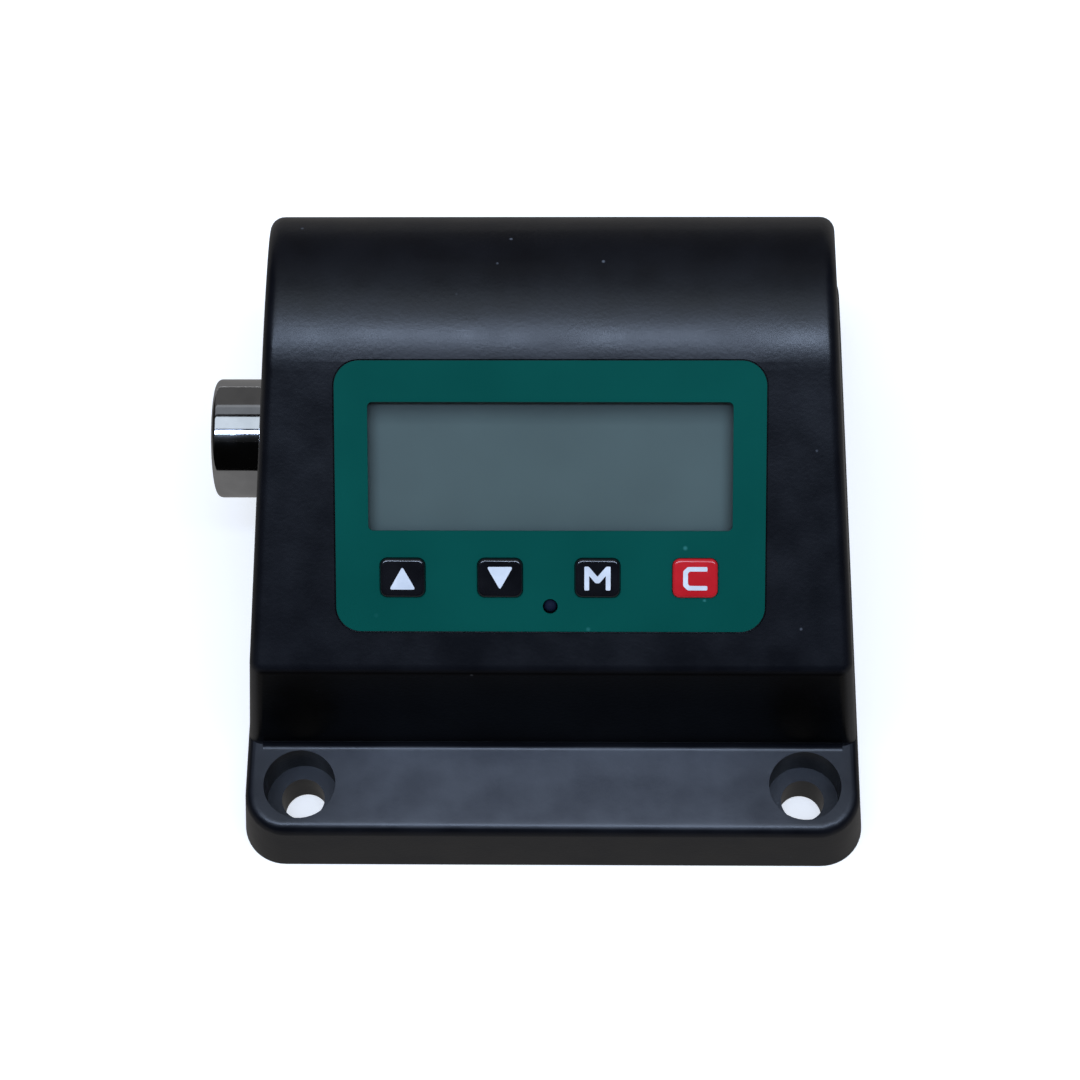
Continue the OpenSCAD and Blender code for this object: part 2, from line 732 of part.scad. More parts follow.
module anchor_cap() {
    color("#6b6f75") difference() {
        block(anchor_x0, anchor_x1, axis_y - anchor_half, axis_y + anchor_half,
            anchor_low - anchor_cap_t, anchor_low);
        at_anchor_screws() translate([0, 0, -overrun])
            cylinder(h = anchor_cap_t + 2 * overrun, d = anchor_screw_d + slip);
    }
}

module anchor_cap_screws() {
    color("dimgray") at_anchor_screws()
        cap_screw(anchor_screw_d, anchor_screw_l, anchor_head_d, anchor_head_h);
}

// The adapter: a turned sleeve with a square drive at its outer end and a hexagon at its inner end
module drive_socket() {
    r = adapter_d / 2;
    color("#d8dce2") difference() {
        on_axis(adapter_x0) rotate_extrude() {
            translate([0, adapter_edge_r]) square([r, adapter_l - adapter_edge_r - adapter_bevel]);
            square([r - adapter_edge_r, adapter_edge_r]);
            translate([r - adapter_edge_r, adapter_edge_r]) circle(r = adapter_edge_r);
            polygon([[0, adapter_l - adapter_bevel], [r, adapter_l - adapter_bevel],
                [r - adapter_bevel, adapter_l], [0, adapter_l]]);
        }
        block(adapter_x0 - overrun, adapter_x0 + drive_depth, axis_y - drive_w / 2, axis_y + drive_w / 2,
            axis_h - drive_w / 2, axis_h + drive_w / 2);
        on_axis(adapter_x0) cylinder(h = drive_bevel, r1 = drive_w / 2 + 2 * drive_bevel,
            r2 = drive_w / 2 + drive_bevel / 2);
        rod(adapter_x0 + detent_depth, adapter_x0 + detent_depth + detent_w, 2 * detent_r);
        rod(adapter_x0, adapter_x1, web_hole_d);
        hexagon(hex_tip - meet, adapter_x1 + overrun, hex_w + slip);
    }
}

module dust_seal() {
    color("#151515") difference() {
        rod(seal_x + close_fit, seal_x + close_fit + seal_w, seal_d);
        rod(seal_x - overrun, seal_x + seal_w + overrun, adapter_d + 2 * seal_slip);
    }
}

module front_overlay() {
    color("#07564f") difference() {
        on_panel(0, overlay_up + overlay_h / 2, -recess_h)
            plate(overlay_w, overlay_h, overlay_r, overlay_t);
        on_panel(0, window_mid, -recess_h - overrun)
            plate(window_w, window_h, window_r, overlay_t + 2 * overrun);
        for (k = [0 : key_count - 1])
            on_panel(key_x(k), key_mid, -recess_h - overrun)
                plate(key_w + slip, key_h + slip, key_r + slip / 2, overlay_t + 2 * overrun);
        on_panel(0, lamp_mid, -recess_h - overrun)
            cylinder(h = overlay_t + 2 * overrun, d = lamp_d + slip);
    }
}

module display_lens() {
    color("lightgray") on_panel(0, window_mid, lens_bottom)
        plate(window_w + 2 * lens_rim, window_h + 2 * lens_rim, window_r + lens_rim - slip / 2, lens_t);
}

module lcd_glass() {
    color("#6a8484") on_panel(0, window_mid, glass_bottom)
        plate(window_w + 2 * glass_rim_w, window_h + 2 * glass_rim_h, window_r - slip, glass_t);
}

module backlight() {
    color("white") on_panel(0, window_mid, board_top)
        plate(window_w + 2 * glass_rim_w, window_h + 2 * glass_rim_h, window_r, glass_bottom - board_top);
}

module main_board() {
    color("#1d6b3a") difference() {
        on_panel(0, board_mid, board_bottom) plate(board_w, board_h, window_r, board_t);
        at_board_screws() translate([0, 0, -overrun])
            cylinder(h = board_t + 2 * overrun, d = board_screw_d + 2 * slip);
    }
}

module board_screws() {
    color("silver") at_board_screws()
        cap_screw(board_screw_d, board_t + 2 * board_screw_d, board_head_d, board_head_h);
}

// Chips and other parts hang under the board, at x and up, with their own Z out of the board
module under_board(x, up) {
    on_panel(x, up, board_bottom) rotate([180, 0, 0]) children();
}

module processor_chip() {
    color("#222222") under_board(key_pitch / 2, key_mid + chip_w / 2)
        plate(chip_w, chip_w, window_r / 2, chip_h);
}

module amplifier_chip() {
    color("#222222") under_board(gauge_x, window_mid - amp_w) plate(amp_w, amp_w, window_r / 2, chip_h);
}

module buzzer() {
    color("#111111") under_board(-key_pitch, key_mid + buzzer_d / 4) difference() {
        cylinder(h = buzzer_h, d = buzzer_d);
        translate([0, 0, buzzer_h - overrun]) cylinder(h = 2 * overrun, d = buzzer_d / 6);
    }
}

module indicator_led() {
    dome_r = lamp_d / 2;
    base = -shell_wall - meet;
    color("#141b2b") on_panel(0, lamp_mid, 0) {
        translate([0, 0, -lamp_sink - dome_r]) ball(dome_r);
        translate([0, 0, base]) cylinder(h = -base - lamp_sink - dome_r, d = lamp_d);
        translate([0, 0, base - key_flange_t]) cylinder(h = key_flange_t, d = lamp_flange_d);
        for (sx = [-1, 1])
            translate([sx * dome_r / 2 - lamp_leg_w / 2, -lamp_leg_w / 2, board_top])
                cube([lamp_leg_w, lamp_leg_w, base - key_flange_t / 2 - board_top]);
    }
}

// A lead: one straight run, a bend of the given angle and a second run, starting along +Z
module lead(first_l, angle, second_l) {
    set_back = lead_bend_r * tan(angle / 2);
    cylinder(h = first_l - set_back, d = lead_d);
    translate([0, 0, first_l - set_back - lead_d / 4])
        cylinder(h = lead_d / 2, d = lead_d + 2 * lead_sleeve);
    translate([-lead_bend_r, 0, first_l - set_back]) rotate([90, 0, 0])
        rotate_extrude(angle = angle) translate([lead_bend_r, 0]) circle(d = lead_d);
    translate([0, 0, first_l]) rotate([0, -angle, 0]) translate([0, 0, set_back]) {
        cylinder(h = second_l - set_back, d = lead_d);
        translate([0, 0, -lead_d / 4]) cylinder(h = lead_d / 2, d = lead_d + 2 * lead_sleeve);
    }
}

// The gauges' lead rises from the bar and turns square to the board
module gauge_lead() {
    color("#303030") translate([gauge_x, axis_y, gauge_lead_low]) rotate([0, 0, 90])
        lead(gauge_lead_rise, panel_slope, plug_level - panel_level(axis_y, gauge_lead_turn));
}

module gauge_connector() {
    color("ivory") under_board(gauge_x, panel_up(axis_y, gauge_lead_turn))
        plate(plug_w, plug_depth, window_r / 2, plug_h);
}

// The batteries' lead leaves the holder forwards and turns square to the board
module battery_lead() {
    color("#a02020") translate([battery_lead_x, battery_lead_y, battery_lead_z]) rotate([0, 0, 90])
        rotate([0, -90, 0]) rotate([0, 0, 180]) lead(battery_lead_y - battery_lead_turn, 90 - panel_slope,
            plug_level - panel_level(battery_lead_turn, battery_lead_z));
}

module power_connector() {
    color("ivory") under_board(battery_lead_x, panel_up(battery_lead_turn, battery_lead_z))
        plate(plug_w, plug_depth, window_r / 2, plug_h);
}

// A key: a glossy cap through the panel, a lip that keeps it in, and a stem on the switch
module button(k, tint) {
    cap_h = film_top + key_stand - key_flange_bottom;
    color(tint) on_panel(key_x(k), key_mid, 0) {
        hull() for (sx = [-1, 1], sy = [-1, 1])
            translate([sx * (key_w / 2 - key_r), sy * (key_h / 2 - key_r), key_flange_bottom]) {
                cylinder(h = cap_h - key_edge_r, r = key_r, $fn = edge_fn);
                translate([0, 0, cap_h - key_edge_r]) rotate_extrude($fn = edge_fn)
                    intersection() {
                        translate([key_r - key_edge_r, 0]) circle(r = key_edge_r, $fn = edge_fn);
                        square([key_r, key_r]);
                    }
            }
        translate([0, 0, key_flange_bottom])
            plate(key_w + 2 * key_lip, key_h + 2 * key_lip, key_r + key_lip, key_flange_t);
        translate([0, 0, plunger_top]) cylinder(h = key_stem_l + key_flange_t / 2, d = key_stem_d);
    }
}

module plunger(k) {
    color("#202020") on_panel(key_x(k), key_mid, board_top + switch_h - plunger_sink)
        cylinder(h = plunger_sink + plunger_stand, d = plunger_d);
}

module tact_switch(k) {
    well = plunger_sink + key_travel + slip;
    color("#4b4f55") on_panel(key_x(k), key_mid, board_top) difference() {
        plate(switch_w, switch_w, window_r / 2, switch_h);
        translate([0, 0, switch_h - well]) cylinder(h = well + overrun, d = plunger_d + slip);
    }
}

// The battery holder: an open tray behind the rear wall, with ears for its screws
module battery_holder() {
    ear_w = 2 * (holder_screw_x + holder_ear);
    tray_h = bay_h + 2 * holder_t;
    tray_mid = bay_low + bay_h / 2;
    depth = holder_top - holder_floor + holder_t;
    color("#26282c") difference() {
        union() {
            on_rear(0, tray_mid, holder_floor - holder_t) plate(holder_l, tray_h, shoulder, depth);
            on_rear(0, tray_mid, holder_top - holder_t) plate(ear_w, tray_h / 2, shoulder, holder_t);
        }
        on_rear(-holder_in_l / 2, bay_low, holder_floor) cube([holder_in_l, bay_h, depth + overrun]);
        at_holder_screws() translate([0, 0, -overrun])
            cylinder(h = holder_t + 2 * overrun, d = board_screw_d + slip);
    }
}

module holder_screws() {
    color("silver") at_holder_screws()
        cap_screw(board_screw_d, holder_t + shell_wall / 2, board_head_d, board_head_h);
}

function cell_side(i) = i % 2 == 0 ? 1 : -1;
function cell_at(i) = cell_low + i * cell_pitch;

// A battery: the can, and the nub at the end that faces its side
module battery(i) {
    shift = cell_side(i) * (holder_in_l / 2 - plate_t - cell_l / 2);
    color("#b8862b") on_rear(shift, cell_at(i), cell_level) rotate([0, cell_side(i) * 90, 0])
        translate([0, 0, -cell_l / 2]) {
            cylinder(h = cell_l - cell_nub_l, d = cell_d);
            cylinder(h = cell_l, d = cell_nub_d);
        }
}

module contact_plates() {
    color("silver") for (i = [0 : cell_count - 1], sx = [-1, 1])
        on_rear(sx * (holder_in_l / 2 - plate_t / 2), cell_at(i), cell_level)
            cube([plate_t, cell_d * 4 / 5, cell_d * 4 / 5], center = true);
}

module contact_springs() {
    color("silver") for (i = [0 : cell_count - 1])
        on_rear(-cell_side(i) * (holder_in_l / 2 - plate_t), cell_at(i), cell_level)
            rotate([0, cell_side(i) * 90, 0]) cylinder(h = spring_l, d1 = spring_d, d2 = spring_d * 2 / 3);
}

// The battery lid: a plate with a hinge barrel and trunnions below and a latch tongue above
module battery_door() {
    lid_mid = (pivot_up + lid_high - meet) / 2;
    color("#1b1d24") {
        on_rear(0, lid_mid, -lid_t) plate(lid_w, lid_high - meet - pivot_up, shoulder / 2, lid_t);
        on_rear(-lid_w / 2, pivot_up, pivot_level) rotate([0, 90, 0]) cylinder(h = lid_w, r = barrel_r);
        on_rear(-lid_w / 2 - trunnion_l, pivot_up, pivot_level) rotate([0, 90, 0])
            cylinder(h = lid_w + 2 * trunnion_l, r = trunnion_r);
        on_rear(-tongue_w / 2, bay_high - meet - tongue_t, -lid_t - tongue_l + slip)
            cube([tongue_w, tongue_t, tongue_l]);
    }
}

housing();
base_cover();
cover_gasket();
cover_screws();
transducer();
gauge_pad(1);  // gauge_top
gauge_pad(-1);  // gauge_bottom
input_bush();
bearing_cap();
bearing_cap_screws();
anchor_cap();
anchor_cap_screws();
drive_socket();
dust_seal();
front_overlay();
display_lens();
lcd_glass();
backlight();
main_board();
board_screws();
processor_chip();
amplifier_chip();
buzzer();
indicator_led();
gauge_connector();
power_connector();
gauge_lead();
battery_lead();
button(0, "#0a0b0e");  // button_up
button(1, "#0a0b0e");  // button_down
button(2, "#0a0b0e");  // button_mode
button(3, "#cd2028");  // button_clear
plunger(0);  // plunger_up
plunger(1);  // plunger_down
plunger(2);  // plunger_mode
plunger(3);  // plunger_clear
tact_switch(0);  // switch_up
tact_switch(1);  // switch_down
tact_switch(2);  // switch_mode
tact_switch(3);  // switch_clear
battery_holder();
holder_screws();
battery(0);  // battery_1
battery(1);  // battery_2
battery(2);  // battery_3
contact_plates();
contact_springs();
battery_door();
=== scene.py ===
import math

import bmesh
import bpy
from mathutils import Matrix, Vector


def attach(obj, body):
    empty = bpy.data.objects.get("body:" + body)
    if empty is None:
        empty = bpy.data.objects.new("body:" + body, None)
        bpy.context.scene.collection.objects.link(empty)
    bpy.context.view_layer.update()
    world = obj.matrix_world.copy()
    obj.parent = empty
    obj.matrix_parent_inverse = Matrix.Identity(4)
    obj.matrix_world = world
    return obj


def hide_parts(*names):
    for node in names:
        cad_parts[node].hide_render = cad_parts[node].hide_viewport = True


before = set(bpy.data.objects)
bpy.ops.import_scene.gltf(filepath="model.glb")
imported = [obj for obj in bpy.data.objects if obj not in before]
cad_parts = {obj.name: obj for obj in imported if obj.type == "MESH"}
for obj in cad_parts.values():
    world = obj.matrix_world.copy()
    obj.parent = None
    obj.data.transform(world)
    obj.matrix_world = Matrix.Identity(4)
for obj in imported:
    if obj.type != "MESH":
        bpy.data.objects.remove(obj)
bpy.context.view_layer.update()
MM = 0.001
PANEL_SLOPE = math.radians(34.7)

# Camera: it stands in front of the tester and high above it, a little to the right, and looks
# down on the panel. Its place and lens come from a fit to the edges seen in the photograph.
LENS_MM, SENSOR_MM = 94.31, 36
CAMERA_PLACE_MM = (9.55, -270.277, 567.985)
CAMERA_RIGHT, CAMERA_BACK = (0.9998, 0.0106, -0.0178), (0.0206, -0.4379, 0.8988)
camera_data = bpy.data.cameras.new("camera")
camera_data.lens = LENS_MM
camera_data.sensor_width = SENSOR_MM
camera = bpy.data.objects.new("camera", camera_data)
bpy.context.scene.collection.objects.link(camera)
view_right = Vector(CAMERA_RIGHT).normalized()
view_back = Vector(CAMERA_BACK).normalized()
view_right = (view_right - view_back * view_right.dot(view_back)).normalized()
view_up = view_back.cross(view_right)
view_axes = Matrix((view_right, view_up, view_back)).transposed().to_4x4()
camera.matrix_world = Matrix.Translation(Vector(CAMERA_PLACE_MM) * MM) @ view_axes
bpy.context.scene.camera = camera
bpy.context.scene.view_settings.view_transform = "Standard"

# Studio: a white table under the tester. The table shows white to the camera and in polished
# metal, more so with distance, and still takes the tester's soft shadow.
TABLE_SIZE, TABLE_LEVEL, TABLE_GREY = 12, -0.0004, 0.8
GLOW_NEAR, GLOW_FAR = (0.2, 0.45), (0.9, 1)
link = bpy.context.scene.collection.objects.link


def stage_sheet(name, size_x, size_y, place, tilt, material, roll=0):
    """A flat sheet of the studio, turned about X by tilt and about Y by roll, in degrees."""
    shape = bmesh.new()
    bmesh.ops.create_grid(shape, x_segments=1, y_segments=1, size=0.5)
    bmesh.ops.scale(shape, vec=(size_x, size_y, 1), verts=shape.verts)
    bmesh.ops.rotate(shape, matrix=Matrix.Rotation(math.radians(tilt), 3, "X"), verts=shape.verts)
    bmesh.ops.rotate(shape, matrix=Matrix.Rotation(math.radians(roll), 3, "Y"), verts=shape.verts)
    bmesh.ops.translate(shape, vec=place, verts=shape.verts)
    mesh = bpy.data.meshes.new(name)
    shape.to_mesh(mesh)
    shape.free()
    mesh.materials.append(material)
    sheet = bpy.data.objects.new(name, mesh)
    link(sheet)
    return sheet


def blank_material(name):
    """A material without nodes, with its node and link lists."""
    material = bpy.data.materials.new(name)
    material.use_nodes = True
    material.node_tree.nodes.clear()
    return material, material.node_tree.nodes, material.node_tree.links


def seen_rays(nodes, links):
    """1 for a ray from the camera, off polished metal or through glass, and 0 for the others."""
    path = nodes.new("ShaderNodeLightPath")
    first = nodes.new("ShaderNodeMath")
    first.operation = "MAXIMUM"
    second = nodes.new("ShaderNodeMath")
    second.operation = "MAXIMUM"
    links.new(path.outputs["Is Camera Ray"], first.inputs[0])
    links.new(path.outputs["Is Glossy Ray"], first.inputs[1])
    links.new(first.outputs[0], second.inputs[0])
    links.new(path.outputs["Is Transmission Ray"], second.inputs[1])
    return second.outputs[0]


table_paint, nodes, links = blank_material("table_paint")
matte = nodes.new("ShaderNodeBsdfDiffuse")
matte.inputs["Color"].default_value = (TABLE_GREY, TABLE_GREY, TABLE_GREY, 1)
glow = nodes.new("ShaderNodeEmission")
spot = nodes.new("ShaderNodeTexCoord")
reach = nodes.new("ShaderNodeVectorMath")
reach.operation = "LENGTH"
links.new(spot.outputs["Object"], reach.inputs[0])
far = nodes.new("ShaderNodeMapRange")
for label, number in zip(("From Min", "To Min", "From Max", "To Max"), GLOW_NEAR + GLOW_FAR):
    far.inputs[label].default_value = number
links.new(reach.outputs["Value"], far.inputs["Value"])
lift = nodes.new("ShaderNodeMath")
lift.operation = "MULTIPLY"
links.new(seen_rays(nodes, links), lift.inputs[0])
links.new(far.outputs[0], lift.inputs[1])
links.new(lift.outputs[0], glow.inputs["Strength"])
both = nodes.new("ShaderNodeAddShader")
links.new(matte.outputs[0], both.inputs[0])
links.new(glow.outputs[0], both.inputs[1])
out = nodes.new("ShaderNodeOutputMaterial")
links.new(both.outputs[0], out.inputs["Surface"])
stage_sheet("table_top", TABLE_SIZE, TABLE_SIZE, (0, 0, TABLE_LEVEL), 0, table_paint)

# Room: the world is white where it is seen and a plain fill light elsewhere. The flags show
# only in glossy surfaces: dark in front, above and at both sides, grey behind and on the table.
FILL_LEVEL, SEEN_LEVEL = 0.36, 1
world = bpy.data.worlds.new("room")
world.use_nodes = True
bpy.context.scene.world = world
nodes, links = world.node_tree.nodes, world.node_tree.links
nodes.clear()
fill = nodes.new("ShaderNodeBackground")
fill.inputs["Color"].default_value = (0.96, 0.98, 1, 1)
level = nodes.new("ShaderNodeMapRange")
level.inputs["To Min"].default_value = FILL_LEVEL
level.inputs["To Max"].default_value = SEEN_LEVEL
links.new(seen_rays(nodes, links), level.inputs["Value"])
links.new(level.outputs[0], fill.inputs["Strength"])
out = nodes.new("ShaderNodeOutputWorld")
links.new(fill.outputs[0], out.inputs["Surface"])
for name, shade, size_x, size_y, place, tilt in (
        ("black_flag", 0.002, 5, 1.35, (0, -0.76, 0.66), 102),
        ("ceiling_flag", 0.01, 5, 1.9, (0, 0.05, 1.32), 0),
        ("rear_flag", 0.1, 5, 1.55, (0, 1.3, 0.66), 121),
        ("left_flag", 0.02, 1.4, 3, (-1.3, 0, 0.7), 0),
        ("right_flag", 0.02, 1.4, 3, (1.3, 0, 0.7), 0),
        ("grey_card", 0.2, 3, 1.9, (0, 0.33, -0.0002), 0)):
    flag_paint, nodes, links = blank_material(name)
    glow = nodes.new("ShaderNodeEmission")
    glow.inputs["Color"].default_value = (shade, shade * 0.98, shade * 0.97, 1)
    out = nodes.new("ShaderNodeOutputMaterial")
    links.new(glow.outputs[0], out.inputs["Surface"])
    flag = stage_sheet(name, size_x, size_y, place, tilt, flag_paint, 90 if place[0] else 0)
    flag.visible_camera = flag.visible_diffuse = flag.visible_shadow = False
    flag.visible_transmission = flag.visible_volume_scatter = False

# Lamps: two wide soft boxes overhead, and a bright strip in front of them that draws the pale
# band along the rounded top.
for name, size_x, size_y, place, radiance, colour in (
        ("soft_box_rear", 1.6, 0.44, (0, 0.62, 1.1), 0.25, (0.86, 0.92, 1)),
        ("soft_box_front", 1.6, 0.5, (0, 0.05, 1.2), 1.1, (0.8, 0.9, 1)),
        ("strip", 1.7, 0.085, (0, -0.316, 1.15), 31, (0.6, 0.74, 1))):
    lamp_data = bpy.data.lights.new(name, "AREA")
    lamp_data.shape = "RECTANGLE"
    lamp_data.size = size_x
    lamp_data.size_y = size_y
    lamp_data.energy = math.pi * size_x * size_y * radiance
    lamp_data.color = colour
    lamp = bpy.data.objects.new(name, lamp_data)
    lamp.location = place
    lamp.rotation_euler = (-math.atan2(place[1], place[2]), 0, 0)
    link(lamp)

# Housing: one casting in light alloy, blasted and coated satin black. The copy of its solid is
# merged so that light runs smoothly over the rounded top, the foot's rim and the edges.
MERGE_WITHIN, SLIVER = 0.000004, 0.000002


def smooth_copy(node, body, material, angle=24):
    """A copy of a CAD node's mesh with its corners merged, smooth except at sharp edges."""
    shape = bmesh.new()
    shape.from_mesh(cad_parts[node].data)
    bmesh.ops.remove_doubles(shape, verts=shape.verts, dist=MERGE_WITHIN)
    bmesh.ops.dissolve_degenerate(shape, edges=shape.edges, dist=SLIVER)
    for face in shape.faces:
        face.smooth = True
    for edge in shape.edges:
        turn = edge.calc_face_angle(math.pi)
        sharp = len(edge.link_faces) != 2 or turn > math.radians(angle)
        edge.smooth = not sharp
    mesh = bpy.data.meshes.new(node + "_finished")
    shape.to_mesh(mesh)
    shape.free()
    for attribute in ("custom_normal", "UVMap"):
        if attribute in mesh.attributes:
            mesh.attributes.remove(mesh.attributes[attribute])
    mesh.materials.clear()
    mesh.materials.append(material)
    piece = bpy.data.objects.new(mesh.name, mesh)
    link(piece)
    weights = piece.modifiers.new("even_faces", "WEIGHTED_NORMAL")
    weights.keep_sharp = True
    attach(piece, body)
    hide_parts(node)
    return piece


def shader_group(name, inputs, outputs):
    """An empty node group with its sockets; inputs are (name, default) pairs."""
    group = bpy.data.node_groups.new(name, "ShaderNodeTree")
    for label, default in inputs:
        socket = group.interface.new_socket(label, in_out="INPUT", socket_type="NodeSocketFloat")
        socket.default_value = default
    for label in outputs:
        group.interface.new_socket(label, in_out="OUTPUT", socket_type="NodeSocketFloat")
    start = group.nodes.new("NodeGroupInput")
    end = group.nodes.new("NodeGroupOutput")
    return group, start, end


def ranged(nodes, links, value, low, high, to_low=0.0, to_high=1.0):
    """The value carried from one range to another and held at its ends."""
    step = nodes.new("ShaderNodeMapRange")
    for label, number in (("From Min", low), ("From Max", high),
                          ("To Min", to_low), ("To Max", to_high)):
        step.inputs[label].default_value = number
    links.new(value, step.inputs["Value"])
    return step.outputs[0]


def computed(nodes, links, operation, first, second):
    """The result of a Math node on two sockets or numbers."""
    step = nodes.new("ShaderNodeMath")
    step.operation = operation
    for socket, value in zip(step.inputs, (first, second)):
        if isinstance(value, (int, float)):
            socket.default_value = value
        else:
            links.new(value, socket)
    return step.outputs[0]


def band(nodes, links, value, start, full, fade, end):
    """1 between full and fade, falling to 0 at start and end."""
    return computed(nodes, links, "MULTIPLY", ranged(nodes, links, value, start, full),
                    ranged(nodes, links, value, end, fade))


# Handled surface: slow mottling, a fine grain, and rare dust specks, for every finish below
SPECK_RIM, SPECK_CORE = 0.16, 0.06
SPECK_NONE, SPECK_ALL = 0.965, 0.975
handled, start, end = shader_group(
    "handled_surface", (("Grain Scale", 1800.0), ("Mottle Scale", 60.0), ("Speck Scale", 420.0)),
    ("Grain", "Mottle", "Speck"))
place = handled.nodes.new("ShaderNodeTexCoord")
for label, source, detail in (("Grain", "Grain Scale", 3.0), ("Mottle", "Mottle Scale", 4.0)):
    cloud = handled.nodes.new("ShaderNodeTexNoise")
    cloud.inputs["Detail"].default_value = detail
    handled.links.new(place.outputs["Object"], cloud.inputs["Vector"])
    handled.links.new(start.outputs[source], cloud.inputs["Scale"])
    handled.links.new(cloud.outputs["Fac"], end.inputs[label])
dots = handled.nodes.new("ShaderNodeTexVoronoi")
dots.inputs["Randomness"].default_value = 1
handled.links.new(place.outputs["Object"], dots.inputs["Vector"])
handled.links.new(start.outputs["Speck Scale"], dots.inputs["Scale"])
near = ranged(handled.nodes, handled.links, dots.outputs["Distance"], SPECK_RIM, SPECK_CORE)
pick = handled.nodes.new("ShaderNodeSeparateColor")
handled.links.new(dots.outputs["Color"], pick.inputs["Color"])
rare = ranged(handled.nodes, handled.links, pick.outputs[0], SPECK_NONE, SPECK_ALL)
handled.links.new(computed(handled.nodes, handled.links, "MULTIPLY", near, rare),
                  end.inputs["Speck"])


def finish_material(name, dark, light, rough, bump, metallic=0.0, specular=0.5, coat=0.0,
                    scales=(1800.0, 60.0, 420.0), speck=None):
    """A Principled finish whose colour and gloss vary with the handled surface."""
    material, nodes, links = blank_material(name)
    touch = nodes.new("ShaderNodeGroup")
    touch.node_tree = handled
    for label, number in zip(("Grain Scale", "Mottle Scale", "Speck Scale"), scales):
        touch.inputs[label].default_value = number
    blend = nodes.new("ShaderNodeMix")
    blend.data_type = "RGBA"
    blend.inputs["A"].default_value = (*dark, 1)
    blend.inputs["B"].default_value = (*light, 1)
    links.new(ranged(nodes, links, touch.outputs["Mottle"], 0.35, 0.65), blend.inputs["Factor"])
    colour = blend.outputs["Result"]
    if speck:
        dust = nodes.new("ShaderNodeMix")
        dust.data_type = "RGBA"
        dust.inputs["B"].default_value = (*speck, 1)
        links.new(colour, dust.inputs["A"])
        links.new(touch.outputs["Speck"], dust.inputs["Factor"])
        colour = dust.outputs["Result"]
    shader = nodes.new("ShaderNodeBsdfPrincipled")
    shader.inputs["Metallic"].default_value = metallic
    shader.inputs["Specular IOR Level"].default_value = specular
    shader.inputs["Coat Weight"].default_value = coat
    shader.inputs["Coat Roughness"].default_value = 0.08
    links.new(colour, shader.inputs["Base Color"])
    links.new(ranged(nodes, links, touch.outputs["Mottle"], 0.3, 0.7, rough[0], rough[1]),
              shader.inputs["Roughness"])
    relief = nodes.new("ShaderNodeBump")
    relief.inputs["Distance"].default_value = bump * MM
    relief.inputs["Strength"].default_value = 0.6
    links.new(touch.outputs["Grain"], relief.inputs["Height"])
    links.new(relief.outputs["Normal"], shader.inputs["Normal"])
    out = nodes.new("ShaderNodeOutputMaterial")
    links.new(shader.outputs[0], out.inputs["Surface"])
    return material


coated_black = finish_material(
    "coated_black", (0.0022, 0.0026, 0.0045), (0.0034, 0.004, 0.0066), (0.29, 0.37), 0.04,
    specular=0.38, scales=(1300.0, 110.0, 380.0), speck=(0.09, 0.1, 0.12))
# The flange's upper faces and the floors of the bolt recesses are painted greyer and bluer than
# the rest, less so towards the flange's ends: partly a thinner coat on the milled faces, partly a
# painted reflection of the overhead light on these upward faces
RECESS_SHARE, END_SHARE = 0.9, 0.35
nodes, links = coated_black.node_tree.nodes, coated_black.node_tree.links
shader = next(n for n in nodes if n.type == "BSDF_PRINCIPLED")
spot = nodes.new("ShaderNodeTexCoord")
axes = nodes.new("ShaderNodeSeparateXYZ")
links.new(spot.outputs["Object"], axes.inputs[0])
facing = nodes.new("ShaderNodeNewGeometry")
tilt_axes = nodes.new("ShaderNodeSeparateXYZ")
links.new(facing.outputs["Normal"], tilt_axes.inputs[0])
height = axes.outputs["Z"]
at_flange = band(nodes, links, height, 0.0168, 0.0178, 0.0184, 0.0196)
at_recess = computed(nodes, links, "MULTIPLY", RECESS_SHARE,
                     band(nodes, links, height, 0.0086, 0.0089, 0.0091, 0.0094))
at_height = computed(nodes, links, "ADD", at_flange, at_recess)
side = computed(nodes, links, "ABSOLUTE", axes.outputs["X"], 0)
at_height = computed(nodes, links, "MULTIPLY", at_height,
                     ranged(nodes, links, side, 0.034, 0.056, 1, END_SHARE))
# Painted reflection in part: the lighter blue-grey goes only on upward-facing faces
milled_and_sheen = computed(nodes, links, "MULTIPLY", at_height,
                  ranged(nodes, links, tilt_axes.outputs["Z"], 0.8, 0.99))
flange = nodes.new("ShaderNodeMix")
flange.data_type = "RGBA"
clouds = nodes.new("ShaderNodeMix")
clouds.data_type = "RGBA"
clouds.inputs["A"].default_value = (0.0415, 0.0455, 0.0565, 1)
clouds.inputs["B"].default_value = (0.0585, 0.064, 0.077, 1)
touch = next(n for n in nodes if n.type == "GROUP")
links.new(ranged(nodes, links, touch.outputs["Mottle"], 0.35, 0.65), clouds.inputs["Factor"])
links.new(clouds.outputs["Result"], flange.inputs["B"])
links.new(shader.inputs["Base Color"].links[0].from_socket, flange.inputs["A"])
links.new(milled_and_sheen, flange.inputs["Factor"])
links.new(flange.outputs["Result"], shader.inputs["Base Color"])
# Painted shade: the upright front face is made metallic over its near-black colour, so it turns
# deep black and shows no reflection
upright_shade = computed(nodes, links, "MULTIPLY",
                   ranged(nodes, links, tilt_axes.outputs["Y"], -0.8, -0.95),
                   ranged(nodes, links, height, 0.0185, 0.0195))
# The walls of the four bolt recesses get the same painted shade
ahead = computed(nodes, links, "ABSOLUTE", axes.outputs["Y"], 0)
steep = computed(nodes, links, "ABSOLUTE", tilt_axes.outputs["Z"], 0)
recess_wall_shade = ranged(nodes, links, steep, 0.5, 0.4)
for value, reach in ((side, (0.044, 0.0445, 0.0605, 0.061)),
                     (ahead, (0.0505, 0.051, 0.0668, 0.0672)),
                     (height, (0.0088, 0.0092, 0.0178, 0.0182))):
    recess_wall_shade = computed(nodes, links, "MULTIPLY", recess_wall_shade,
                           band(nodes, links, value, *reach))
links.new(computed(nodes, links, "MAXIMUM", upright_shade, recess_wall_shade), shader.inputs["Metallic"])
housing = smooth_copy("housing", "base", coated_black)

